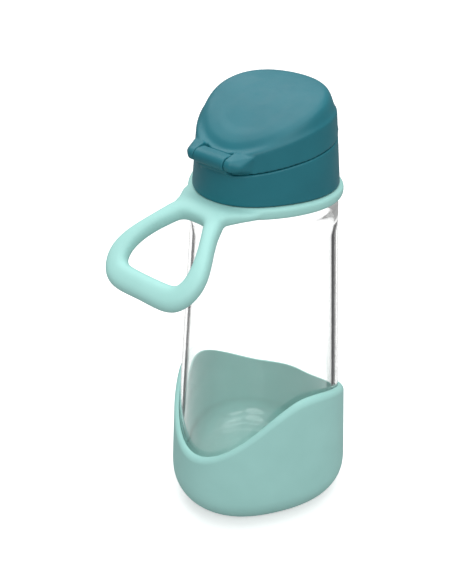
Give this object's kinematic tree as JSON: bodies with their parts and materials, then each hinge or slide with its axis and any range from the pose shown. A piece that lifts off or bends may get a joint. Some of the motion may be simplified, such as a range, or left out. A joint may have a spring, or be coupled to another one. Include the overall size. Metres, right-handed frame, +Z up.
{
  "type": "glass water bottle",
  "caption": "Rounded-triangle glass bottle in a silicone boot, with a screw lid, a hinged flip-top over a soft spout and a silicone carry handle.",
  "frame": {"origin": "centre of the flat rest face under the silicone boot, on the bottle's axis", "axes": "+Z up along the bottle's axis; -Y towards the lid's hinge and the carry handle; +Y towards the drinking side and the release button; +X completes a right-handed frame"},
  "size_m": [0.0862, 0.1151, 0.2052],
  "materials": {
    "clear_glass": "clear, polished",
    "mint_silicone": "soft matte silicone",
    "teal_plastic": "satin, finely grained",
    "soft_silicone": "translucent matte silicone",
    "steel": "drawn wire"
  },
  "bodies": {
    "bottle": {"glass_bottle": "clear_glass", "base_boot": "mint_silicone"},
    "handle_ring": {"handle_collar": "mint_silicone"},
    "handle_grip": {"handle_loop": "mint_silicone"},
    "seal": {"lid_seal": "soft_silicone"},
    "lid": {"lid_shell": "teal_plastic", "lid_liner": "teal_plastic", "spout": "soft_silicone", "vent_valve": "soft_silicone", "button_spring": "steel"},
    "cover": {"flip_top": "teal_plastic", "spout_plug": "soft_silicone", "hinge_pin": "steel"},
    "button": {"release_button": "teal_plastic"}
  },
  "joints": [
    {"name": "handle_turn", "type": "hinge", "parent": "bottle", "child": "handle_ring", "pos_m": [0, 0, 0.16375], "axis": [0, 0, 1], "continuous": true},
    {"name": "handle_flex", "type": "hinge", "parent": "handle_ring", "child": "handle_grip", "pos_m": [0, -0.038, 0.16375], "axis": [-1, 0, 0], "range_deg": [-35, 55], "stiffness_Nm_per_rad": 0.15},
    {"name": "lid_rise", "type": "slide", "parent": "bottle", "child": "seal", "axis": [0, 0, 1], "range_m": [0, 0.012]},
    {"name": "lid_turn", "type": "hinge", "parent": "seal", "child": "lid", "pos_m": [0, 0, 0.175], "axis": [0, 0, 1], "range_deg": [0, 1080]},
    {"name": "flip_open", "type": "hinge", "parent": "lid", "child": "cover", "pos_m": [0, -0.0321, 0.1844], "axis": [1, 0, 0], "range_deg": [0, 120]},
    {"name": "button_press", "type": "slide", "parent": "lid", "child": "button", "axis": [0, -1, 0], "range_m": [0, 0.002], "stiffness_N_per_m": 600, "deforming": ["button_spring"]}
  ],
  "couplings": [
    {"joint": "lid_rise", "follows": "lid_turn", "m_per_rad": 0.00063662}
  ]
}
